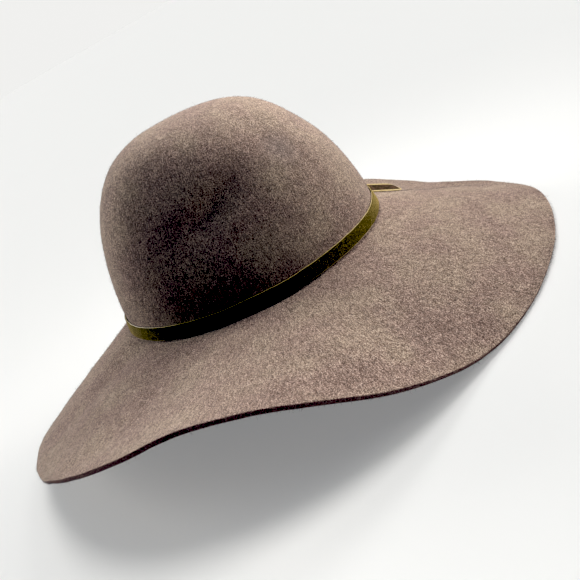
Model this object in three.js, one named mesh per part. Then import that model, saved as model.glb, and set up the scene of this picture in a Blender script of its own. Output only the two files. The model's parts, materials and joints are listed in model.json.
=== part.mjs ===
// A floppy wide-brim hat of wool felt, with a round crown and a narrow velvet ribbon.
// Millimetres, +Z up. The hat lies on its brim on the plane z = 0, and the origin is
// the middle of its outline there. -Y is the front and +Y the back, where the knot is.
// Every shape is first worked out in the crown's own frame, whose origin is the middle
// of the line where crown and brim meet, and is then leaned and lowered to rest.

import * as THREE from 'three';

// Felt body
const FELT_THICKNESS = 3;
const CROWN_LENGTH = 208;
const CROWN_WIDTH = 179;
const CROWN_HEIGHT = 122.5;
const DOME_SIDE_POWER = 3.0;
const DOME_TOP_POWER = 1.72;
const CROWN_TOP_FORWARD = 7;

// How the hat rests: the crown leans back and to one side on the sagging brim
const BACK_LEAN = THREE.MathUtils.degToRad(2.9);
const SIDE_LEAN = THREE.MathUtils.degToRad(1.4);
const CROWN_BASE_HEIGHT = 63.5;

// Velvet ribbon
const RIBBON_WIDTH = 10;
const RIBBON_THICKNESS = 1.2;
const RIBBON_RISE = 0.6;
const SEAT_GAP = 0.4;
const KNOT_AZIMUTH = 101;
const KNOT_SIZE = { along: 13, out: 6, high: 11.5 };
const TAIL_LEAN = THREE.MathUtils.degToRad(58);
const TAIL_CUT_DROP = 1;
const TAIL_CUT_REACH = 2;

// Facets
const AZIMUTH_STEPS = 80;
const CROWN_ROWS = 17;
const BRIM_ROWS = 13;
const RIM_CROWDING = 1.3;
const KNOT_STEPS = { round: 16, high: 10 };

// The brim's sections, one row each 15 degrees round the hat from +X towards +Y: how
// steeply the felt falls where it leaves the crown, and at the rim, in degrees, and the
// width of the felt from the crown to the rim, a little less at the front and back.
const BRIM_SECTIONS = [
  { azimuth: 0, crownSlope: 9.5, rimSlope: 15.5, width: 127 },
  { azimuth: 15, crownSlope: 12.5, rimSlope: 31.5, width: 127 },
  { azimuth: 30, crownSlope: 14.5, rimSlope: 35.5, width: 129 },
  { azimuth: 45, crownSlope: 16.5, rimSlope: 34, width: 128 },
  { azimuth: 60, crownSlope: 18, rimSlope: 29, width: 127 },
  { azimuth: 75, crownSlope: 20, rimSlope: 22.5, width: 127 },
  { azimuth: 90, crownSlope: 24, rimSlope: 26, width: 124 },
  { azimuth: 105, crownSlope: 30, rimSlope: 24.5, width: 123 },
  { azimuth: 120, crownSlope: 31.5, rimSlope: 14, width: 125 },
  { azimuth: 135, crownSlope: 30.5, rimSlope: 3, width: 126 },
  { azimuth: 150, crownSlope: 29.5, rimSlope: 5, width: 127 },
  { azimuth: 165, crownSlope: 29.5, rimSlope: 14.5, width: 127 },
  { azimuth: 180, crownSlope: 30, rimSlope: 27.5, width: 128 },
  { azimuth: 195, crownSlope: 30.5, rimSlope: 38, width: 128 },
  { azimuth: 210, crownSlope: 31, rimSlope: 43, width: 128 },
  { azimuth: 225, crownSlope: 31, rimSlope: 43.5, width: 127 },
  { azimuth: 240, crownSlope: 29, rimSlope: 39, width: 126 },
  { azimuth: 255, crownSlope: 24.5, rimSlope: 31, width: 124 },
  { azimuth: 270, crownSlope: 19.5, rimSlope: 30.5, width: 122 },
  { azimuth: 285, crownSlope: 15, rimSlope: 22, width: 117 },
  { azimuth: 300, crownSlope: 10, rimSlope: 5.5, width: 120 },
  { azimuth: 315, crownSlope: 7, rimSlope: -6, width: 125 },
  { azimuth: 330, crownSlope: 5, rimSlope: -13.5, width: 126 },
  { azimuth: 345, crownSlope: 6, rimSlope: -5.5, width: 126 },
];

// Soft folds that run out across the brim: where each starts and ends round the hat,
// the part of the width that it crosses, its half width and its depth.
const BRIM_FOLDS = [
  { fromAzimuth: 288, toAzimuth: 272, from: 0, to: 0.85, halfWidth: 13, depth: 3.5 },
  { fromAzimuth: 318, toAzimuth: 302, from: 0.4, to: 1.1, halfWidth: 16, depth: 2 },
  { fromAzimuth: 352, toAzimuth: 4, from: 0.25, to: 1.1, halfWidth: 24, depth: -2 },
];

// Dents and low swellings of the crown: the centre round the hat and above the brim,
// the half sizes along and across, the slant and the depth (below zero it swells).
const CROWN_DENTS = [
  { azimuth: 346, height: 77, along: 36, across: 10, slant: 22, depth: 3.6 },
  { azimuth: 348, height: 68, along: 40, across: 16, slant: 18, depth: 3 },
  { azimuth: 350, height: 56, along: 46, across: 22, slant: 8, depth: 2.8 },
  { azimuth: 33, height: 89, along: 16, across: 13, slant: 0, depth: 1.8 },
  { azimuth: 78, height: 88, along: 30, across: 15, slant: 0, depth: 1.2 },
  { azimuth: 205, height: 84, along: 34, across: 15, slant: -15, depth: 2.5 },
];

// The two ends of the ribbon behind the knot, as stations on the brim: the azimuth and
// the distance out from the crown. The last station is the long corner of the cut end.
const TAIL_ROUTES = {
  ribbon_tail_right: [
    { azimuth: 97.4, out: 7.5 },
    { azimuth: 96.4, out: 15 },
    { azimuth: 95.6, out: 23.5 },
    { azimuth: 95.2, out: 32.5 },
    { azimuth: 95, out: 42 },
  ],
  ribbon_tail_left: [
    { azimuth: 105.4, out: 7.5 },
    { azimuth: 108.5, out: 13 },
    { azimuth: 112, out: 17.5 },
    { azimuth: 115.5, out: 21 },
    { azimuth: 119, out: 24 },
  ],
};

const toRadians = THREE.MathUtils.degToRad;

// Value of one column of the section table at any azimuth, on a smooth closed curve.
function sectionValue(column, degrees) {
  const count = BRIM_SECTIONS.length;
  const place = (((degrees % 360) + 360) % 360) * count / 360;
  const row = Math.floor(place);
  const t = place - row;
  const [before, start, end, after] = [-1, 0, 1, 2].map(
    (offset) => BRIM_SECTIONS[(row + offset + count) % count][column],
  );
  const pull = (end - before) / 2;
  const release = (after - start) / 2;
  return (2 * t ** 3 - 3 * t ** 2 + 1) * start + (t ** 3 - 2 * t ** 2 + t) * pull
    + (3 * t ** 2 - 2 * t ** 3) * end + (t ** 3 - t ** 2) * release;
}

function bump(x) {
  return Math.exp(-x * x);
}

// Signed step from one azimuth to another, in degrees, the short way round.
function azimuthStep(from, to) {
  return ((((to - from) % 360) + 540) % 360) - 180;
}

function dentDepth(degrees, height) {
  const radius = (CROWN_LENGTH + CROWN_WIDTH) / 4;
  let depth = 0;
  for (const dent of CROWN_DENTS) {
    const round = toRadians(azimuthStep(dent.azimuth, degrees)) * radius;
    const up = height - dent.height;
    const slant = toRadians(dent.slant);
    const along = round * Math.cos(slant) + up * Math.sin(slant);
    const across = up * Math.cos(slant) - round * Math.sin(slant);
    depth += dent.depth * bump(along / dent.along) * bump(across / dent.across);
  }
  return depth;
}

// Outer face of the crown at a share of its height, from 0 at the brim to 1 at the top.
function crownPoint(degrees, share) {
  const azimuth = toRadians(degrees);
  const spread = Math.max(0, 1 - share ** DOME_TOP_POWER) ** (1 / DOME_SIDE_POWER);
  const height = share * CROWN_HEIGHT;
  const point = new THREE.Vector3(
    CROWN_WIDTH / 2 * spread * Math.cos(azimuth),
    CROWN_LENGTH / 2 * spread * Math.sin(azimuth) - CROWN_TOP_FORWARD * share ** 2,
    height,
  );
  const side = new THREE.Vector3(Math.cos(azimuth), Math.sin(azimuth), share ** 2).normalize();
  return point.addScaledVector(side, -dentDepth(degrees, height));
}

function foldDepth(degrees, share) {
  let depth = 0;
  for (const fold of BRIM_FOLDS) {
    const t = (share - fold.from) / (fold.to - fold.from);
    if (t <= 0 || t >= 1) continue;
    const middle = fold.fromAzimuth + azimuthStep(fold.fromAzimuth, fold.toAzimuth) * t;
    const radius = (CROWN_LENGTH + CROWN_WIDTH) / 4 + share * sectionValue('width', degrees);
    const aside = toRadians(azimuthStep(middle, degrees)) * radius;
    depth += fold.depth * Math.sin(Math.PI * t) * bump(aside / fold.halfWidth);
  }
  return depth;
}

// Upper face of the brim at a share of its width. Each section is an arc that leaves
// the crown at one slope and reaches the rim at another.
function brimPoint(degrees, share) {
  const azimuth = toRadians(degrees);
  const start = toRadians(sectionValue('crownSlope', degrees));
  const turn = (toRadians(sectionValue('rimSlope', degrees)) - start) * share;
  const half = turn / 2;
  const length = share * sectionValue('width', degrees);
  const chord = length * (Math.abs(half) < 1e-6 ? 1 : Math.sin(half) / half);
  const out = new THREE.Vector3(
    Math.cos(azimuth) / CROWN_WIDTH,
    Math.sin(azimuth) / CROWN_LENGTH,
    0,
  ).normalize();
  const point = new THREE.Vector3(
    CROWN_WIDTH / 2 * Math.cos(azimuth),
    CROWN_LENGTH / 2 * Math.sin(azimuth),
    -chord * Math.sin(start + half) - foldDepth(degrees, share),
  );
  return point.addScaledVector(out, chord * Math.cos(start + half));
}

const restTurn = new THREE.Matrix4().makeRotationFromEuler(
  new THREE.Euler(-BACK_LEAN, SIDE_LEAN, 0),
);

function toRest(point) {
  const rested = point.clone().applyMatrix4(restTurn);
  rested.z += CROWN_BASE_HEIGHT;
  return rested;
}

function azimuthAt(step) {
  return 360 * step / AZIMUTH_STEPS;
}

// Rings of the felt's outer and upper face, from the top of the crown to the rim.
function outerRings() {
  const rings = [];
  for (let row = 1; row <= CROWN_ROWS; row += 1) {
    const angle = Math.PI / 2 * (1 - row / CROWN_ROWS);
    const share = Math.sin(angle) ** (2 / DOME_TOP_POWER);
    rings.push((degrees) => crownPoint(degrees, share));
  }
  for (let row = 1; row <= BRIM_ROWS; row += 1) {
    const share = 1 - (1 - row / BRIM_ROWS) ** RIM_CROWDING;
    rings.push((degrees) => brimPoint(degrees, share));
  }
  return rings.map((pointAt) => {
    const ring = [];
    for (let step = 0; step < AZIMUTH_STEPS; step += 1) {
      ring.push(toRest(pointAt(azimuthAt(step))));
    }
    return ring;
  });
}

function faceNormal(round, down) {
  return new THREE.Vector3().crossVectors(down, round).normalize();
}

// The inner rings lie one felt thickness inside the outer ones, with true corners.
function innerRings(rings) {
  const inner = [];
  for (let row = 0; row < rings.length; row += 1) {
    const above = rings[Math.max(row - 1, 0)];
    const here = rings[row];
    const below = rings[Math.min(row + 1, rings.length - 1)];
    inner.push(here.map((point, step) => {
      const next = here[(step + 1) % AZIMUTH_STEPS];
      const last = here[(step - 1 + AZIMUTH_STEPS) % AZIMUTH_STEPS];
      const round = next.clone().sub(last);
      const downTo = point.clone().sub(above[step]);
      const downFrom = below[step].clone().sub(point);
      const first = faceNormal(round, row === 0 ? downFrom : downTo);
      const second = faceNormal(round, row === rings.length - 1 ? downTo : downFrom);
      const scale = -FELT_THICKNESS / (1 + first.dot(second));
      return point.clone().addScaledVector(first.add(second), scale);
    }));
  }
  return inner;
}

// Where the felt would sink below a level it lies flat on it.
function flatten(rings, level) {
  for (const ring of rings) {
    for (const point of ring) {
      point.z = Math.max(point.z, level);
    }
  }
}

function geometryOf(points, triangles) {
  const geometry = new THREE.BufferGeometry();
  const positions = points.flatMap((point) => [point.x, point.y, point.z]);
  geometry.setAttribute('position', new THREE.Float32BufferAttribute(positions, 3));
  geometry.setIndex(triangles.flat());
  geometry.computeVertexNormals();
  return geometry;
}

// Closed skin round a loop of rings: top of the crown, out to the rim, and back inside.
function feltGeometry() {
  const outer = outerRings();
  const inner = innerRings(outer);
  flatten(outer, FELT_THICKNESS);
  flatten(inner, 0);
  const top = toRest(crownPoint(0, 1));
  const innerTop = toRest(crownPoint(0, 1).setZ(CROWN_HEIGHT - FELT_THICKNESS));
  const rings = [...outer, ...inner.reverse()];
  const points = [...rings.flat(), top, innerTop];
  const topIndex = points.length - 2;
  const innerTopIndex = points.length - 1;
  const lastRing = (rings.length - 1) * AZIMUTH_STEPS;
  const triangles = [];
  for (let step = 0; step < AZIMUTH_STEPS; step += 1) {
    const next = (step + 1) % AZIMUTH_STEPS;
    triangles.push([topIndex, step, next]);
    triangles.push([innerTopIndex, lastRing + next, lastRing + step]);
    for (let row = 0; row < rings.length - 1; row += 1) {
      const upper = row * AZIMUTH_STEPS;
      const lower = upper + AZIMUTH_STEPS;
      triangles.push([upper + step, lower + step, lower + next]);
      triangles.push([upper + step, lower + next, upper + next]);
    }
  }
  return geometryOf(points, triangles);
}

// A strip of ribbon from four-cornered sections, closed into a ring or capped.
function stripGeometry(sections, isRing) {
  const points = sections.flat().map(toRest);
  const triangles = [];
  const spans = isRing ? sections.length : sections.length - 1;
  for (let span = 0; span < spans; span += 1) {
    const here = span * 4;
    const next = ((span + 1) % sections.length) * 4;
    for (let corner = 0; corner < 4; corner += 1) {
      const across = (corner + 1) % 4;
      triangles.push([here + corner, next + across, next + corner]);
      triangles.push([here + corner, here + across, next + across]);
    }
  }
  if (!isRing) {
    const end = points.length - 4;
    triangles.push([0, 2, 1], [0, 3, 2]);
    triangles.push([end, end + 1, end + 2], [end, end + 2, end + 3]);
  }
  return geometryOf(points, triangles);
}

function crownSide(degrees) {
  const azimuth = toRadians(degrees);
  return new THREE.Vector3(
    Math.cos(azimuth) / CROWN_WIDTH,
    Math.sin(azimuth) / CROWN_LENGTH,
    0,
  ).normalize();
}

// Point at a height on the crown, a distance out from its felt.
function besideCrown(degrees, height, distance) {
  const point = crownPoint(degrees, height / CROWN_HEIGHT);
  return point.addScaledVector(crownSide(degrees), distance);
}

function bandGeometry() {
  const low = RIBBON_RISE;
  const high = RIBBON_RISE + RIBBON_WIDTH;
  const near = SEAT_GAP;
  const far = SEAT_GAP + RIBBON_THICKNESS;
  const sections = [];
  for (let step = 0; step < AZIMUTH_STEPS; step += 1) {
    const degrees = azimuthAt(step);
    sections.push([
      besideCrown(degrees, low, near),
      besideCrown(degrees, high, near),
      besideCrown(degrees, high, far),
      besideCrown(degrees, low, far),
    ]);
  }
  return stripGeometry(sections, true);
}

// The knot is a low pillow of ribbon that sits on the band.
function knotGeometry() {
  const geometry = new THREE.SphereGeometry(0.5, KNOT_STEPS.round, KNOT_STEPS.high);
  geometry.scale(KNOT_SIZE.out, KNOT_SIZE.along, KNOT_SIZE.high);
  return geometry;
}

function placeKnot(mesh) {
  const middle = RIBBON_RISE + RIBBON_WIDTH / 2;
  const away = 2 * SEAT_GAP + RIBBON_THICKNESS + KNOT_SIZE.out / 2;
  const side = crownSide(KNOT_AZIMUTH);
  const leaned = new THREE.Quaternion().setFromRotationMatrix(restTurn);
  mesh.position.copy(toRest(besideCrown(KNOT_AZIMUTH, middle, away)));
  mesh.quaternion.setFromAxisAngle(new THREE.Vector3(0, 0, 1), Math.atan2(side.y, side.x));
  mesh.quaternion.premultiply(leaned);
}

function brimAt(station) {
  return brimPoint(station.azimuth, station.out / sectionValue('width', station.azimuth));
}

// A tail stands on its edge on the brim and leans over; its end is cut on the slant.
function tailGeometry(route, leanSign) {
  const sections = route.map((station, index) => {
    const isTip = index === route.length - 1;
    const lower = brimAt(station);
    const upper = brimAt(isTip ? route[index - 1] : station);
    const ahead = route[Math.min(index + 1, route.length - 1)];
    const behind = route[Math.max(index - 1, 0)];
    const run = brimAt(ahead).sub(brimAt(behind)).normalize();
    const side = new THREE.Vector3().crossVectors(run, new THREE.Vector3(0, 0, 1)).normalize();
    const rise = new THREE.Vector3(0, 0, Math.cos(TAIL_LEAN));
    rise.addScaledVector(side, -leanSign * Math.sin(TAIL_LEAN));
    const skin = side.clone().multiplyScalar(RIBBON_THICKNESS / 2);
    const foot = new THREE.Vector3(0, 0, 2 * SEAT_GAP);
    lower.add(foot);
    upper.add(foot).addScaledVector(rise, RIBBON_WIDTH - (isTip ? TAIL_CUT_DROP : 0));
    if (isTip) upper.addScaledVector(run, TAIL_CUT_REACH);
    return [
      lower.clone().sub(skin),
      upper.clone().sub(skin),
      upper.clone().add(skin),
      lower.clone().add(skin),
    ];
  });
  return stripGeometry(sections, false);
}

const feltFinish = new THREE.MeshStandardMaterial({ color: 0x6d5c54, roughness: 0.95, metalness: 0 });
const velvetFinish = new THREE.MeshStandardMaterial({ color: 0x3b3016, roughness: 0.8, metalness: 0 });
const knotFinish = new THREE.MeshStandardMaterial({ color: 0x40341a, roughness: 0.8, metalness: 0 });
const tailFinish = new THREE.MeshStandardMaterial({ color: 0x5a4a22, roughness: 0.8, metalness: 0 });

function piece(name, geometry, finish) {
  const mesh = new THREE.Mesh(geometry, finish);
  mesh.name = name;
  return mesh;
}

const hat = new THREE.Group();
const feltBody = piece('felt_body', feltGeometry(), feltFinish);
const knot = piece('ribbon_knot', knotGeometry(), knotFinish);
placeKnot(knot);
hat.add(feltBody, piece('ribbon_band', bandGeometry(), velvetFinish), knot);
for (const [name, route] of Object.entries(TAIL_ROUTES)) {
  const leanSign = name === 'ribbon_tail_right' ? 1 : -1;
  hat.add(piece(name, tailGeometry(route, leanSign), tailFinish));
}

// The origin is the middle of the felt's box.
const box = new THREE.Box3().setFromObject(feltBody);
const middle = box.getCenter(new THREE.Vector3());
hat.position.set(-middle.x, -middle.y, 0);

export default hat;
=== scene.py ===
# A floppy wide-brim hat of taupe wool felt, with a narrow velvet ribbon tied behind the crown.
# Metres. It lies on its own brim, with its front towards -Y and the ribbon's knot towards +Y.
import json
import math

import bmesh
import bpy
import numpy as np
from mathutils import Matrix, Vector
from mathutils.kdtree import KDTree

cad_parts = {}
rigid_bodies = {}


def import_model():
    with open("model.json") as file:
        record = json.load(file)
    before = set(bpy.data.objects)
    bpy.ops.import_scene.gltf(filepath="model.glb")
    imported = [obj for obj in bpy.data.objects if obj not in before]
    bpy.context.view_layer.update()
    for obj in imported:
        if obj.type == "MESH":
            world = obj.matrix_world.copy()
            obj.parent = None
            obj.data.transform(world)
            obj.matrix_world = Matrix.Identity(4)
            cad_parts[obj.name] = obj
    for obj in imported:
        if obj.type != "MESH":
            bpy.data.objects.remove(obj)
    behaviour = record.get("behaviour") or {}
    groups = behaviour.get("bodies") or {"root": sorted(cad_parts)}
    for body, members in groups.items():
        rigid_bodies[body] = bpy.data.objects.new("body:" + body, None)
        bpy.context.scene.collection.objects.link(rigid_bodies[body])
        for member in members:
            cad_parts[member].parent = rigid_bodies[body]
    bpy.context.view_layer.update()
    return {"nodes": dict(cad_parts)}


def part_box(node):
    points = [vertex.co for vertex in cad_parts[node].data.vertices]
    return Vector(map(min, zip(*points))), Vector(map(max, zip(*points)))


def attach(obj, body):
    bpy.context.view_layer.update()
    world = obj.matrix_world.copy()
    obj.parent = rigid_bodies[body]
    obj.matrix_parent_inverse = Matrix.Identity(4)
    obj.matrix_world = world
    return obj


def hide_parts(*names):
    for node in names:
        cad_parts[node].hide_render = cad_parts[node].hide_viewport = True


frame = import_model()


# Camera
# It stands on the +X side, which is the wearer's left, looks down by 22 degrees and is rolled
# by 30 degrees.
CAMERA_PLACE = Vector((0.57413, -0.08996, 0.26623))
CAMERA_TARGET = Vector((0.02730, 0.00862, 0.03982))
CAMERA_ROLL = math.radians(-29.84)
CAMERA_LENS_MM = 50.34
SENSOR_WIDTH_MM = 36.0
NEAREST_SEEN = 0.01
FARTHEST_SEEN = 50

camera_data = bpy.data.cameras.new("camera")
camera_data.lens = CAMERA_LENS_MM
camera_data.sensor_width = SENSOR_WIDTH_MM
camera_data.clip_start = NEAREST_SEEN
camera_data.clip_end = FARTHEST_SEEN
camera = bpy.data.objects.new("camera", camera_data)
bpy.context.scene.collection.objects.link(camera)
level = (CAMERA_PLACE - CAMERA_TARGET).to_track_quat("Z", "Y").to_matrix()
rolled = level @ Matrix.Rotation(CAMERA_ROLL, 3, "Z")
camera.matrix_world = Matrix.LocRotScale(CAMERA_PLACE, rolled, None)
bpy.context.scene.camera = camera


# Felt body
# Crown and brim are one piece of wool felt, steamed over a round block and left limp at the
# brim. The felt is 3 mm thick, brushed to a short nap, and its edge is cut raw, without a hem.
FELT_THICKNESS = 0.003
MERGE_REACH = 0.00002
SHARP_TURN = math.radians(50)
FOLD_CREASE = 0.85
RIM_RADIUS = 0.150
POLE_EDGES = 20
DOME_POWER = 3
TOP_RING_STEP = 0.006
TOP_RING_COUNT = 3
RING_SHARE = 0.98
WAVER_SIZE = 0.045
WAVER_DEPTH = 0.0014
DIMPLE_SIZE = 0.009
DIMPLE_DEPTH = 0.0003
CROWN_RADIUS = 0.0967
CREASES = (
    # azimuth and height of the middle, half length, half width, slant, depth (below zero it swells)
    (-6, 0.1530, 0.038, 0.0120, 15, -0.0021),
    (-16, 0.1310, 0.028, 0.0085, 18, 0.0026),
    (-7, 0.1195, 0.024, 0.0080, 14, -0.0014),
)
FELT_SHADE = "#55453c"
FELT_BODY = "#8d796d"
FELT_LIGHT = "#c4b0a3"
CAST_ROSE = "#fefaf8"
CAST_OLIVE = "#fbfcf3"
FELT_SHEEN = "#e6d6c8"
# The cut edge's darker colours are painted shade, for an edge turned down and away from the light.
FELT_CUT_PAINTED_SHADE = "#563f38"
FELT_CUT_LIGHT = "#947a6f"
SPECK_SIZE = 0.0008
MOTTLE_SIZE = 0.0045
PATCH_SIZE = 0.035
STREAK_WIDTH = 0.0009
STREAK_LENGTH = 0.0050
LAY_RADIUS = 0.150
SPECK_WEIGHT = 0.84
STREAK_WEIGHT = 0.20
MOTTLE_WEIGHT = 0.09
PATCH_WEIGHT = 0.12
# A faint grey patch high on the crown is painted shade.
SHADE_PATCH_PLACE = (0.0560, 0.0450, 0.1415)
SHADE_PATCH_REACH = 0.020
SHADE_PATCH_SHARE = 0.30
SHADE_PATCH_GREY = "#807974"


def linear(colour):
    """A colour given as sRGB hex, as linear red, green, blue and alpha."""
    parts = [int(colour[i:i + 2], 16) / 255 for i in (1, 3, 5)]
    return [c / 12.92 if c <= 0.04045 else ((c + 0.055) / 1.055) ** 2.4 for c in parts] + [1.0]


def add_node(tree, kind, inputs=None, **settings):
    """Adds a shader node, with its settings and with each input a value or another's output."""
    made = tree.nodes.new("ShaderNode" + kind)
    for name, value in settings.items():
        setattr(made, name, value)
    for socket, value in (inputs or {}).items():
        if isinstance(value, bpy.types.NodeSocket):
            tree.links.new(value, made.inputs[socket])
        else:
            made.inputs[socket].default_value = value
    return made


def new_material(name):
    """An empty material, its tree and its shader."""
    material = bpy.data.materials.new(name)
    material.use_nodes = True
    tree = material.node_tree
    return material, tree, tree.nodes["Principled BSDF"]


def noise(tree, place, size, detail, roughness, distortion=0.0):
    """A cloudy noise between 0 and 1, with clouds of the given size."""
    inputs = {"Vector": place, "Scale": 1 / size, "Detail": detail, "Roughness": roughness}
    inputs["Distortion"] = distortion
    return add_node(tree, "TexNoise", inputs).outputs["Fac"]


def add_bump(tree, shader, height, strength, distance):
    """Fine relief on a shader, from a node output that gives its height."""
    bump = add_node(tree, "Bump", {"Strength": strength, "Distance": distance, "Height": height})
    tree.links.new(bump.outputs["Normal"], shader.inputs["Normal"])


def colour_ramp(tree, tone, stops):
    """The colour of a tone on a ramp, whose stops are given as (place, hex colour)."""
    ramp = add_node(tree, "ValToRGB", {"Fac": tone})
    elements = ramp.color_ramp.elements
    while len(elements) < len(stops):
        elements.new(1.0)
    for element, (place, colour) in zip(elements, stops):
        element.position = place
        element.color = linear(colour)
    return ramp.outputs["Color"]


def merged_copy(node_name, piece_name):
    """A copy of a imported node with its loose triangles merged, as the active object in edit mode."""
    mesh = frame["nodes"][node_name].data.copy()
    mesh.materials.clear()
    piece = bpy.data.objects.new(piece_name, mesh)
    mesh.name = piece_name
    bpy.context.scene.collection.objects.link(piece)
    bpy.ops.object.select_all(action="DESELECT")
    piece.select_set(True)
    bpy.context.view_layer.objects.active = piece
    bpy.ops.object.mode_set(mode="EDIT")
    bpy.ops.mesh.select_all(action="SELECT")
    bpy.ops.mesh.remove_doubles(threshold=MERGE_REACH)
    return piece


def select_faces(piece, wanted):
    """In edit mode, selects just the faces for which wanted(face) is true."""
    bpy.ops.mesh.select_all(action="DESELECT")
    bpy.ops.mesh.select_mode(type="FACE")
    shape = bmesh.from_edit_mesh(piece.data)
    for face in shape.faces:
        face.select_set(bool(wanted(face)))
    bmesh.update_edit_mesh(piece.data)


def apply_modifier(piece, kind, **settings):
    """Adds a modifier with its settings and applies it."""
    modifier = piece.modifiers.new(kind.lower(), kind)
    for name, value in settings.items():
        setattr(modifier, name, value)
    bpy.context.view_layer.objects.active = piece
    bpy.ops.object.modifier_apply(modifier=modifier.name)


def smooth_finely(piece, levels):
    apply_modifier(piece, "SUBSURF", levels=levels, render_levels=levels)


def waver(piece):
    """Lets the whole wall wander a little, as steamed felt does, and what is sewn to it too."""
    for name, size, depth in (("waver", WAVER_SIZE, WAVER_DEPTH), ("dimple", DIMPLE_SIZE, DIMPLE_DEPTH)):
        texture = bpy.data.textures.get(name) or bpy.data.textures.new(name, "CLOUDS")
        texture.cloud_type = "COLOR"
        texture.noise_scale = size
        texture.noise_depth = 1
        apply_modifier(
            piece, "DISPLACE", texture=texture, texture_coords="LOCAL",
            direction="RGB_TO_XYZ", space="LOCAL", strength=depth, mid_level=0.5,
        )
    for vertex in piece.data.vertices:
        vertex.co.z = max(vertex.co.z, 0.0)


def press_creases(piece):
    """Adds a swelling, a dent and a ridge to the side of the crown, on both faces of the felt."""
    low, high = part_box("ribbon_band")
    axis = (Vector(low) + Vector(high)) / 2
    for vertex in piece.data.vertices:
        aside = vertex.co - axis
        if aside.z < 0 or aside.xy.length > (high[1] - low[1]) / 2:
            continue
        turn = math.atan2(aside.y, aside.x)
        inward = -Vector((aside.x, aside.y, 0)).normalized()
        for azimuth, height, half_length, half_width, slant, depth in CREASES:
            round_crown = (turn - math.radians(azimuth)) * CROWN_RADIUS
            up = vertex.co.z - height
            sine, cosine = math.sin(math.radians(slant)), math.cos(math.radians(slant))
            along = (round_crown * cosine + up * sine) / half_length
            across = (up * cosine - round_crown * sine) / half_width
            vertex.co += inward * depth * math.exp(-along ** 2 - across ** 2)


def plane_height(points, place):
    """Height at a place of the plane through some points."""
    rows = np.c_[points[:, :2], np.ones(len(points))]
    slope_x, slope_y, base = np.linalg.lstsq(rows, points[:, 2], rcond=None)[0]
    return slope_x * place.x + slope_y * place.y + base


def round_off_top(piece, pole):
    """Gives the fan of faces round a pole of the crown a few rings, and the dome's own curve."""
    select_faces(piece, lambda face: any(v.co == pole for v in face.verts))
    shape = bmesh.from_edit_mesh(piece.data)
    ring = np.array([v.co for v in shape.verts if v.select and v.co != pole])
    middle = (ring.max(0) + ring.min(0)) / 2
    half = (ring.max(0) - ring.min(0)) / 2
    rise = pole.z - plane_height(ring, pole)
    for _ in range(TOP_RING_COUNT):
        bpy.ops.mesh.inset(thickness=TOP_RING_STEP, depth=0)
    shape = bmesh.from_edit_mesh(piece.data)
    for vertex in shape.verts:
        share = math.hypot((vertex.co.x - middle[0]) / half[0], (vertex.co.y - middle[1]) / half[1])
        base = plane_height(ring, vertex.co)
        if share < RING_SHARE and abs(vertex.co.z - base) < FELT_THICKNESS / 2:
            vertex.co.z = base + rise * (1 - share ** DOME_POWER)
    bmesh.update_edit_mesh(piece.data)


felt = merged_copy("felt_body", "felt_crown_and_brim")
shape = bmesh.from_edit_mesh(felt.data)
poles = [v.co.copy() for v in shape.verts if len(v.link_edges) > POLE_EDGES]
select_faces(felt, lambda face: not any(v.co == pole for v in face.verts for pole in poles))
bpy.ops.mesh.tris_convert_to_quads(face_threshold=math.pi, shape_threshold=math.pi)
for pole in poles:
    round_off_top(felt, pole)
bpy.ops.mesh.select_mode(type="EDGE")
bpy.ops.mesh.select_all(action="DESELECT")
bpy.ops.mesh.edges_select_sharp(sharpness=SHARP_TURN)
bpy.ops.transform.edge_crease(value=FOLD_CREASE)
shape = bmesh.from_edit_mesh(felt.data)
rim_edges = {
    edge.index for edge in shape.edges
    if edge.select and (edge.verts[0].co.xy.length > RIM_RADIUS)
}
# The faces of the cut edge take the second material, whose darker colour is painted shade.
for face in shape.faces:
    face.material_index = int(sum(edge.index in rim_edges for edge in face.edges) == 2)
bmesh.update_edit_mesh(felt.data)
bpy.ops.object.mode_set(mode="OBJECT")
smooth_finely(felt, 2)
press_creases(felt)
waver(felt)
bpy.ops.object.shade_smooth_by_angle(angle=SHARP_TURN)


# Wool felt, brushed: a matt heather of brown and pale fibres, with a soft sheen at its edges, and
# one faint grey patch of painted shade high on the crown.
felt_cloth, tree, shader = new_material("wool_felt_brushed")
place = add_node(tree, "TexCoord").outputs["Object"]
parts = add_node(tree, "SeparateXYZ", {"Vector": place})
flat_place = add_node(tree, "CombineXYZ", {"X": parts.outputs["X"], "Y": parts.outputs["Y"]}).outputs[0]
radius = add_node(tree, "VectorMath", {0: flat_place}, operation="LENGTH").outputs["Value"]
bearing = add_node(tree, "VectorMath", {0: flat_place}, operation="NORMALIZE").outputs[0]
round_place = add_node(
    tree, "VectorMath", {0: bearing, "Scale": LAY_RADIUS / STREAK_WIDTH}, operation="SCALE"
).outputs[0]
run = add_node(tree, "Math", {0: radius, 1: parts.outputs["Z"]}, operation="SUBTRACT").outputs[0]
run = add_node(tree, "Math", {0: run, 1: 1 / STREAK_LENGTH}, operation="MULTIPLY").outputs[0]
lay = add_node(
    tree, "VectorMath", {0: round_place, 1: add_node(tree, "CombineXYZ", {"Z": run}).outputs[0]},
    operation="ADD",
).outputs[0]
specks = noise(tree, place, SPECK_SIZE, 2.0, 0.8)
mottle = noise(tree, place, MOTTLE_SIZE, 2.0, 0.5)
patches = noise(tree, place, PATCH_SIZE, 2.0, 0.5)
streaks = noise(tree, lay, 1.0, 1.0, 0.5)
layers = (
    (specks, SPECK_WEIGHT), (streaks, STREAK_WEIGHT), (mottle, MOTTLE_WEIGHT), (patches, PATCH_WEIGHT),
)
tone = None
for layer, weight in layers:
    part = add_node(tree, "Math", {0: layer, 1: weight}, operation="MULTIPLY").outputs[0]
    if tone is not None:
        part = add_node(tree, "Math", {0: tone, 1: part}, operation="ADD").outputs[0]
    tone = part
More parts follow.
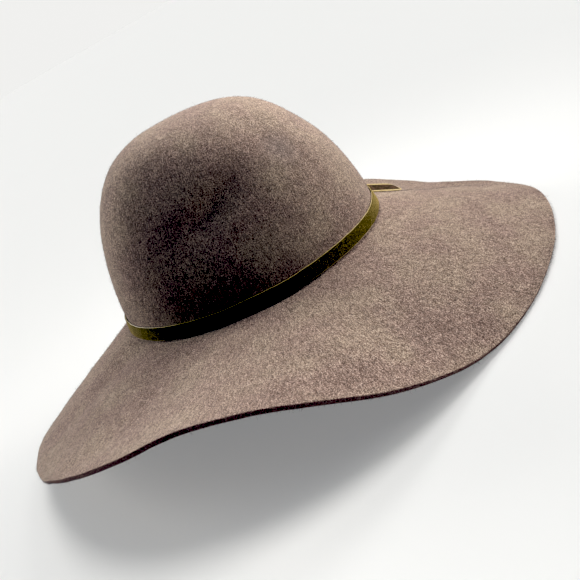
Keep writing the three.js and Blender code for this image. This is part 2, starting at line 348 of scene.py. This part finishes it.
heather = colour_ramp(tree, tone, [(0.50, FELT_SHADE), (0.63, FELT_BODY), (0.77, FELT_LIGHT)])
cast = colour_ramp(tree, patches, [(0.38, CAST_ROSE), (0.62, CAST_OLIVE)])
dyed = add_node(tree, "VectorMath", {0: heather, 1: cast}, operation="MULTIPLY").outputs[0]
# Blends in the painted shade of the grey patch, strongest at its middle.
from_shade_patch = add_node(
    tree, "VectorMath", {0: place, 1: SHADE_PATCH_PLACE}, operation="DISTANCE"
).outputs["Value"]
shade_patch = add_node(
    tree, "MapRange",
    {"Value": from_shade_patch, "From Max": SHADE_PATCH_REACH, "To Min": SHADE_PATCH_SHARE, "To Max": 0.0},
    interpolation_type="SMOOTHSTEP",
).outputs["Result"]
with_shade_patch = add_node(
    tree, "MixRGB", {"Fac": shade_patch, "Color1": dyed, "Color2": linear(SHADE_PATCH_GREY)}
).outputs["Color"]
tree.links.new(with_shade_patch, shader.inputs["Base Color"])
relief = add_node(tree, "Math", {0: specks, 1: streaks}, operation="ADD").outputs[0]
add_bump(tree, shader, relief, 0.40, 0.0006)
shader.inputs["Roughness"].default_value = 0.95
shader.inputs["Specular IOR Level"].default_value = 0.15
shader.inputs["Sheen Weight"].default_value = 0.25
shader.inputs["Sheen Roughness"].default_value = 0.45
shader.inputs["Sheen Tint"].default_value = linear(FELT_SHEEN)

# Wool felt, cut through: darker than its brushed faces. The darker colour is painted shade, for an edge
# that faces down and away from the light.
felt_edge_painted_shade, tree, shader = new_material("wool_felt_cut_edge_painted_shade")
place = add_node(tree, "TexCoord").outputs["Object"]
fibres = noise(tree, place, SPECK_SIZE, 3.0, 0.7)
cut_painted_shade = colour_ramp(tree, fibres, [(0.40, FELT_CUT_PAINTED_SHADE), (0.72, FELT_CUT_LIGHT)])
tree.links.new(cut_painted_shade, shader.inputs["Base Color"])
add_bump(tree, shader, fibres, 0.7, 0.0006)
shader.inputs["Roughness"].default_value = 0.95
shader.inputs["Specular IOR Level"].default_value = 0.1

felt.data.materials.append(felt_cloth)
felt.data.materials.append(felt_edge_painted_shade)
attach(felt, "root")
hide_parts("felt_body")


# Velvet band
# A 10 mm velvet ribbon goes once round the foot of the crown and is tacked there. A short pile
# stands on a thin woven back, between two smooth woven edges of golden thread.
BACK_THICKNESS = 0.00045
EDGE_WIDTH = 0.0005
PILE_HEIGHT = 0.00072
PILE_SHOULDERS = (0.0003, 0.0008, 0.0015)
PILE_DARK = "#2b2414"
PILE_BODY = "#4a3f1f"
PILE_LIGHT = "#8f7b48"
PILE_SHEEN = "#c0a86c"
BACK_BROWN = "#3a2e18"
BACK_LIGHT = "#5a4434"
SELVAGE = "#c8b078"
SELVAGE_SHADE = "#8a7442"
PILE_GRAIN = 0.0006
PILE_STREAK = 0.0035
THREAD_SIZE = 0.0006
FOOT_FLARE = 0.0012
FACING = 0.6
PILE_PART, SELVAGE_PART, BACK_PART = range(3)


def paint_selected(piece, index):
    """In edit mode, gives the selected faces one of the piece's materials."""
    shape = bmesh.from_edit_mesh(piece.data)
    for face in shape.faces:
        if face.select:
            face.material_index = index
    bmesh.update_edit_mesh(piece.data)


def lay_ribbon(piece, is_back):
    """Keeps only the back of a ribbon's strip, and builds the woven back, edges and pile on it."""
    bpy.ops.mesh.tris_convert_to_quads(face_threshold=math.pi, shape_threshold=math.pi)
    select_faces(piece, lambda face: not is_back(face))
    bpy.ops.mesh.delete(type="FACE")
    bpy.ops.mesh.select_all(action="SELECT")
    paint_selected(piece, BACK_PART)
    bpy.ops.mesh.flip_normals()
    bpy.ops.mesh.extrude_region_shrink_fatten(TRANSFORM_OT_shrink_fatten={"value": BACK_THICKNESS})
    bpy.ops.mesh.select_more()
    paint_selected(piece, SELVAGE_PART)
    bpy.ops.mesh.select_less()
    bpy.ops.mesh.inset(thickness=EDGE_WIDTH, depth=0)
    bpy.ops.mesh.extrude_region_shrink_fatten(TRANSFORM_OT_shrink_fatten={"value": PILE_HEIGHT})
    bpy.ops.mesh.select_more()
    paint_selected(piece, PILE_PART)
    bpy.ops.mesh.select_less()
    for shoulder in PILE_SHOULDERS:
        bpy.ops.mesh.inset(thickness=shoulder, depth=0)
    bpy.ops.object.mode_set(mode="OBJECT")


def outward(face):
    """How far a face looks away from the crown's axis."""
    middle = face.calc_center_median()
    return face.normal.dot(Vector((middle.x, middle.y, 0)).normalized())


band = merged_copy("ribbon_band", "velvet_band")
select_faces(band, lambda face: face.normal.z < -FACING)
shape = bmesh.from_edit_mesh(band.data)
for vertex in shape.verts:
    if vertex.select:
        vertex.co += Vector((vertex.co.x, vertex.co.y, 0)).normalized() * FOOT_FLARE
bmesh.update_edit_mesh(band.data)
lay_ribbon(band, lambda face: outward(face) < -FACING)
smooth_finely(band, 2)
waver(band)
bpy.ops.object.shade_smooth()

# Cotton velvet: the pile drinks light seen end on and glows olive gold where it is seen aslant.
velvet, tree, shader = new_material("cotton_velvet_pile")
place = add_node(tree, "TexCoord").outputs["Object"]
grain = noise(tree, place, PILE_GRAIN, 2.0, 0.6)
crush = noise(tree, place, PILE_STREAK, 2.0, 0.5, distortion=0.8)
tone = add_node(tree, "Mix", {"Factor": 0.2, 2: grain, 3: crush}).outputs[0]
pile_tone = colour_ramp(tree, tone, [(0.34, PILE_DARK), (0.52, PILE_BODY), (0.70, PILE_LIGHT)])
tree.links.new(pile_tone, shader.inputs["Base Color"])
add_bump(tree, shader, tone, 0.6, 0.0004)
shader.inputs["Roughness"].default_value = 0.85
shader.inputs["Specular IOR Level"].default_value = 0.1
shader.inputs["Sheen Weight"].default_value = 1.0
shader.inputs["Sheen Roughness"].default_value = 0.35
shader.inputs["Sheen Tint"].default_value = linear(PILE_SHEEN)

# Rayon selvage: close smooth threads, with a soft gloss.
selvage, tree, shader = new_material("rayon_selvage_woven")
place = add_node(tree, "TexCoord").outputs["Object"]
threads = noise(tree, place, THREAD_SIZE, 1.0, 0.5)
thread_tone = colour_ramp(tree, threads, [(0.35, SELVAGE_SHADE), (0.65, SELVAGE)])
tree.links.new(thread_tone, shader.inputs["Base Color"])
add_bump(tree, shader, threads, 0.4, 0.0002)
shader.inputs["Roughness"].default_value = 0.5
shader.inputs["Sheen Weight"].default_value = 0.2

# Cotton back of the ribbon: a plain brown weave.
ribbon_back, tree, shader = new_material("cotton_ribbon_back_woven")
place = add_node(tree, "TexCoord").outputs["Object"]
weave = noise(tree, place, THREAD_SIZE, 2.0, 0.6)
wear = noise(tree, place, PILE_STREAK, 2.0, 0.5)
tone = add_node(tree, "Mix", {"Factor": 0.6, 2: weave, 3: wear}).outputs[0]
back_tone = colour_ramp(tree, tone, [(0.40, BACK_BROWN), (0.62, BACK_LIGHT)])
tree.links.new(back_tone, shader.inputs["Base Color"])
add_bump(tree, shader, weave, 0.4, 0.0002)
shader.inputs["Roughness"].default_value = 0.8
shader.inputs["Specular IOR Level"].default_value = 0.2

band.data.materials.append(velvet)
band.data.materials.append(selvage)
band.data.materials.append(ribbon_back)
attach(band, "root")
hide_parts("ribbon_band")


# Knot
# Where the ribbon's ends cross, a short turn of the same ribbon is wound round the band and
# pulled tight, so that it draws together in three soft pleats. It is stitched behind.
KNOT_WAIST = 0.80
KNOT_FLARE = 0.32
PLEAT_COUNT = 3
PLEAT_DEPTH = 0.00045
KNOT_BEVEL = 0.0012
KNOT_ROUNDING = 0.55
PLEAT_FADE = 1.6
END_FACING = 0.75

knot_points = np.array([v.co for v in frame["nodes"]["ribbon_knot"].data.vertices])
knot_middle = (knot_points.min(0) + knot_points.max(0)) / 2
spread = np.linalg.svd((knot_points - knot_middle)[:, :2], full_matrices=False)[2]
along = Vector((*spread[0], 0)).normalized()
out = Vector((knot_middle[0], knot_middle[1], 0)).normalized()
out = (out - along * out.dot(along)).normalized()
knot_reach = [
    2 * max(abs(Vector(point - knot_middle).dot(axis)) for point in knot_points)
    for axis in (out, along)
]
knot_size = Vector((*knot_reach, knot_points[:, 2].max() - knot_points[:, 2].min()))

bpy.ops.object.select_all(action="DESELECT")
bpy.ops.mesh.primitive_cube_add(size=1, location=(0, 0, 0))
knot = bpy.context.object
knot.name = knot.data.name = "velvet_knot"
bpy.ops.object.mode_set(mode="EDIT")
bpy.ops.mesh.bevel(offset=KNOT_BEVEL / knot_size.x, segments=3, affect="EDGES")
bpy.ops.mesh.subdivide(number_cuts=1)
bpy.ops.mesh.subdivide(number_cuts=2)
bpy.ops.object.mode_set(mode="OBJECT")
for vertex in knot.data.vertices:
    away, aside, up = vertex.co
    waist = KNOT_WAIST + KNOT_FLARE * (2 * up) ** 2
    pleat = PLEAT_DEPTH * math.cos(2 * math.pi * PLEAT_COUNT * aside) * (1 - (PLEAT_FADE * up) ** 2)
    in_front = away > 0
    depth = away * knot_size.x * (1 - KNOT_ROUNDING * (2 * up) ** 4 * in_front) + pleat * in_front
    vertex.co = (
        Vector(knot_middle) + out * depth + along * aside * waist * knot_size.y
        + Vector((0, 0, up * knot_size.z))
    )
for face in knot.data.polygons:
    face.material_index = int(abs(face.normal.dot(along)) > END_FACING)
smooth_finely(knot, 2)
waver(knot)
bpy.ops.object.shade_smooth()
bpy.ops.object.mode_set(mode="EDIT")
bpy.ops.mesh.select_all(action="SELECT")
bpy.ops.mesh.normals_make_consistent(inside=False)
bpy.ops.object.mode_set(mode="OBJECT")
knot.data.materials.append(velvet)
knot.data.materials.append(selvage)
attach(knot, "root")
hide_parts("ribbon_knot")


# Ribbon tails
# The ribbon's two ends lie along the brim behind the knot, cut on the slant so that they don't
# fray. Right is +X, as seen from in front. The left one has its pile up, and the right one is
# turned over, so that its brown woven back shows.
BROAD_FACE = 0.000020
TAIL_FACING = 0.3

for side, pile_up in (("right", -1), ("left", 1)):
    tail = merged_copy(f"ribbon_tail_{side}", f"velvet_tail_{side}")
    lay_ribbon(
        tail, lambda face: face.normal.z * pile_up < -TAIL_FACING and face.calc_area() > BROAD_FACE
    )
    smooth_finely(tail, 3)
    waver(tail)
    bpy.ops.object.shade_smooth()
    tail.data.materials.append(velvet)
    tail.data.materials.append(selvage)
    tail.data.materials.append(ribbon_back)
    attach(tail, "root")
    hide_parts(f"ribbon_tail_{side}")


# Nap
# Brushing raises the ends of the wool from the felt. They lie mostly down and outwards, and
# at the cut edge they stand out. Real ones are 0.03 mm thick, and are drawn coarser to show.
NAP_LIFT = math.radians(20)
NAP_SCATTER = math.radians(50)
NAP_DROP = 0.12
TURNED_BACK = 0.25
LIFT_EVENNESS = 3.0
STEEPEST = 1.35
LENGTH_LOG_MEAN = -0.1
LENGTH_LOG_SPREAD = 0.4
CURL = 0.35
MIDDLE_WIDTH = 0.8
BEHIND_BAND = 0.0016
NAPS = (
    # piece, region, how many, length, width, lift, random seed
    ("wool_nap_crown", "crown", 60000, 0.0023, 0.00013, 0.7, 11),
    ("wool_nap_brim", "brim", 64000, 0.0024, 0.00013, 0.9, 12),
    ("wool_nap_underside", "underside", 40000, 0.0020, 0.00013, 0.8, 13),
    ("wool_nap_rim", "rim", 9000, 0.0014, 0.00008, 2.0, 14),
)
WOOL_DARK = "#51433a"
WOOL_BODY = "#867367"
WOOL_PALE = "#ac9a8e"
BAKE_MAP = "OFBake"
TONE_WIDTH = 0.004
TONE_SPREAD = 0.2
TONE_LIMITS = (0.02, 0.98)
ALONG_FIBRE = (0.02, 0.02, 0.5, 0.5, 0.98)


def felt_regions():
    """Corners and normal of each triangle of the finished felt, and the region it is in."""
    felt.data.calc_loop_triangles()
    triangles = felt.data.loop_triangles
    places = np.empty(len(felt.data.vertices) * 3)
    felt.data.vertices.foreach_get("co", places)
    numbers = np.empty(len(triangles) * 3, dtype=np.int64)
    triangles.foreach_get("vertices", numbers)
    corners = places.reshape(-1, 3)[numbers.reshape(-1, 3)]
    normals = np.cross(corners[:, 1] - corners[:, 0], corners[:, 2] - corners[:, 0])
    normals /= np.maximum(np.linalg.norm(normals, axis=1), 1e-12)[:, None]
    materials = np.empty(len(triangles), dtype=np.int64)
    triangles.foreach_get("material_index", materials)
    low, high = (np.array(corner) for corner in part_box("ribbon_band"))
    middles = corners.mean(1)
    from_axis = (middles - (low + high) / 2)[:, :2]
    away = from_axis / np.linalg.norm(from_axis, axis=1)[:, None]
    is_outer = (normals[:, :2] * away).sum(1) + normals[:, 2] > 0
    in_crown = np.linalg.norm(from_axis / ((high - low)[:2] / 2), axis=1) < 1
    band_tree = KDTree(len(band.data.vertices))
    for index, vertex in enumerate(band.data.vertices):
        band_tree.insert(vertex.co, index)
    band_tree.balance()
    by_band = np.array([band_tree.find(middle)[2] for middle in middles]) < BEHIND_BAND
    regions = np.where(is_outer, np.where(in_crown, "crown", "brim"), "underside")
    regions[materials == 1] = "rim"
    regions[(regions == "crown") & by_band] = "hidden"
    return corners, normals, regions


def raise_nap(name, place, count, length, width, lift, seed):
    """Short bent fibres, scattered over one region and each with its own tone along u."""
    random = np.random.default_rng(seed)
    corners, normals = (part[felt_region == place] for part in (felt_corners, felt_normals))
    crossed = np.cross(corners[:, 1] - corners[:, 0], corners[:, 2] - corners[:, 0])
    area = np.linalg.norm(crossed, axis=1)
    chosen = random.choice(len(corners), count, p=area / area.sum())
    share = random.random((count, 2))
    share = np.where(share.sum(1, keepdims=True) > 1, 1 - share, share)
    at = corners[chosen]
    root = at[:, 0] + share[:, :1] * (at[:, 1] - at[:, 0]) + share[:, 1:] * (at[:, 2] - at[:, 0])
    normal = normals[chosen]
    lay = root * (1, 1, 0) - (0, 0, NAP_DROP)
    lay -= normal * (lay * normal).sum(1, keepdims=True)
    lay /= np.linalg.norm(lay, axis=1, keepdims=True)
    across = np.cross(normal, lay)
    turn = random.normal(0, NAP_SCATTER, (count, 1)) + np.pi * (random.random((count, 1)) < TURNED_BACK)
    lay, across = lay * np.cos(turn) + across * np.sin(turn), across * np.cos(turn) - lay * np.sin(turn)
    rise = random.gamma(LIFT_EVENNESS, NAP_LIFT * lift / LIFT_EVENNESS, (count, 1))
    rise = np.minimum(rise, STEEPEST)
    reach = length * random.lognormal(LENGTH_LOG_MEAN, LENGTH_LOG_SPREAD, (count, 1))
    curl = random.normal(0, CURL, (count, 1))
    half = across * width / 2
    middle = root + (lay * np.cos(rise) + normal * np.sin(rise)) * reach * 0.5
    bent = lay * np.cos(rise * 0.5) + normal * np.sin(rise * 0.5) + across * curl
    tip = middle + bent * reach * 0.5
    near = half * MIDDLE_WIDTH
    points = np.stack([root - half, root + half, middle - near, middle + near, tip], 1)
    points[..., 2] = np.maximum(points[..., 2], 0.0)
    first = np.arange(count)[:, None, None] * 5
    faces = (first + np.array([[0, 1, 2], [1, 3, 2], [2, 3, 4]])).reshape(-1, 3)
    mesh = bpy.data.meshes.new(name)
    mesh.from_pydata(points.reshape(-1, 3), [], faces)
    tone = np.clip(random.normal(0.5, TONE_SPREAD, count), *TONE_LIMITS)
    side = np.array([-TONE_WIDTH, TONE_WIDTH, -TONE_WIDTH, TONE_WIDTH, 0.0])
    bake_map = np.stack([tone[:, None] + side, np.tile(ALONG_FIBRE, (count, 1))], 2)
    layer = mesh.uv_layers.new(name=BAKE_MAP)
    layer.uv.foreach_set("vector", bake_map.reshape(-1, 2)[faces.ravel()].ravel())
    nap = bpy.data.objects.new(name, mesh)
    bpy.context.scene.collection.objects.link(nap)
    nap.data.materials.append(wool)
    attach(nap, "root")


# Wool fibres: matt, from dark brown to pale, and darker at the root where others shade them.
wool, tree, shader = new_material("wool_fibre_dyed")
bake_place = add_node(tree, "UVMap", uv_map=BAKE_MAP).outputs["UV"]
parts = add_node(tree, "SeparateXYZ", {"Vector": bake_place})
wool_tone = colour_ramp(tree, parts.outputs["X"], [(0.1, WOOL_DARK), (0.5, WOOL_BODY), (0.9, WOOL_PALE)])
shade = add_node(tree, "MapRange", {"Value": parts.outputs["Y"], "To Min": 0.65, "To Max": 1.0})
wool_colour = add_node(
    tree, "VectorMath", {0: wool_tone, "Scale": shade.outputs["Result"]}, operation="SCALE"
)
tree.links.new(wool_colour.outputs[0], shader.inputs["Base Color"])
shader.inputs["Roughness"].default_value = 0.9
shader.inputs["Specular IOR Level"].default_value = 0.2
shader.inputs["Sheen Weight"].default_value = 0.15

felt_corners, felt_normals, felt_region = felt_regions()
for row in NAPS:
    raise_nap(*row)


# Stage
# A wide pale floor that glows a little, like a light table. Soft lights shine from above and low
# from the picture's left and right, and a small lamp hangs above the crown.
FLOOR_RADIUS = 12.0
FLOOR_SIDES = 96
FLOOR_GAP = 0.0003
FLOOR_PALE = "#c9c9c6"
FLOOR_GLOW = 0.24
BACKDROP = (0.885, 0.880, 0.865, 1.0)
AMBIENT_STRENGTH = 0.09
AMBIENT_COLOUR = "#d2dcf6"
LIGHTS = (
    # name, direction the light comes from, strength, spread in degrees, colour
    ("above", (-0.10, 0.25, 0.96), 1.9, 30, "#ffffff"),
    ("right", (0.01, 0.99, 0.14), 4.15, 26, "#fffdfa"),
    ("left", (-0.65, -0.73, 0.19), 3.3, 32, "#fffdfa"),
    ("left_low", (-0.82, -0.56, 0.14), 0.5, 60, "#ffffff"),
    ("upper_front", (0.36, 0.34, 0.87), 0.15, 60, "#ffffff"),
)
LAMP_PLACE = Vector((-0.063, 0.131, 0.342))
LAMP_AIM = Vector((-0.012, 0.010, 0.165))
LAMP_POWER = 0.70
LAMP_WIDTH = 0.16
BLACK_LEVEL = (0.069, 0.052, 0.039)

bpy.ops.object.select_all(action="DESELECT")
bpy.ops.mesh.primitive_circle_add(
    vertices=FLOOR_SIDES, radius=FLOOR_RADIUS, fill_type="NGON", location=(0, 0, -FLOOR_GAP)
)
floor = bpy.context.object
floor.name = "studio_floor"
bpy.ops.object.transform_apply(location=True, rotation=True, scale=True)
floor_finish, tree, shader = new_material("matt_studio_board")
shader.inputs["Base Color"].default_value = linear(FLOOR_PALE)
shader.inputs["Roughness"].default_value = 0.9
shader.inputs["Specular IOR Level"].default_value = 0.1
shader.inputs["Emission Color"].default_value = (1.0, 1.0, 1.0, 1.0)
shader.inputs["Emission Strength"].default_value = FLOOR_GLOW
floor.data.materials.append(floor_finish)


def add_lamp(name, kind, direction, energy, colour="#ffffff"):
    """A lamp that shines from the given direction and isn't seen itself."""
    light = bpy.data.lights.new(name, kind)
    light.energy = energy
    light.color = linear(colour)[:3]
    lamp = bpy.data.objects.new(name, light)
    lamp.rotation_euler = direction.to_track_quat("Z", "Y").to_euler()
    lamp.visible_camera = False
    bpy.context.scene.collection.objects.link(lamp)
    return lamp


for name, direction, strength, spread, colour in LIGHTS:
    lamp = add_lamp(name, "SUN", Vector(direction), strength, colour)
    lamp.data.angle = math.radians(spread)
lamp = add_lamp("over_crown", "AREA", LAMP_PLACE - LAMP_AIM, LAMP_POWER)
lamp.location = LAMP_PLACE
lamp.data.shape = "DISK"
lamp.data.size = LAMP_WIDTH

# The backdrop is nearly as bright as the floor. A horizon still shows in a view from low down.
world = bpy.data.worlds.new("studio")
world.use_nodes = True
bpy.context.scene.world = world
tree = world.node_tree
tree.nodes.clear()
seen = add_node(tree, "Background", {"Color": BACKDROP, "Strength": 1.0})
shed = add_node(tree, "Background", {"Color": linear(AMBIENT_COLOUR), "Strength": AMBIENT_STRENGTH})
ray = add_node(tree, "LightPath").outputs["Is Camera Ray"]
both = add_node(tree, "MixShader", {"Fac": ray, 1: shed.outputs[0], 2: seen.outputs[0]})
add_node(tree, "OutputWorld", {"Surface": both.outputs[0]})

# The black level deepens the shadows of the picture, and isn't part of any material.
look = bpy.context.scene.view_settings
look.view_transform = "Standard"
look.use_curve_mapping = True
look.curve_mapping.black_level = BLACK_LEVEL
look.curve_mapping.update()
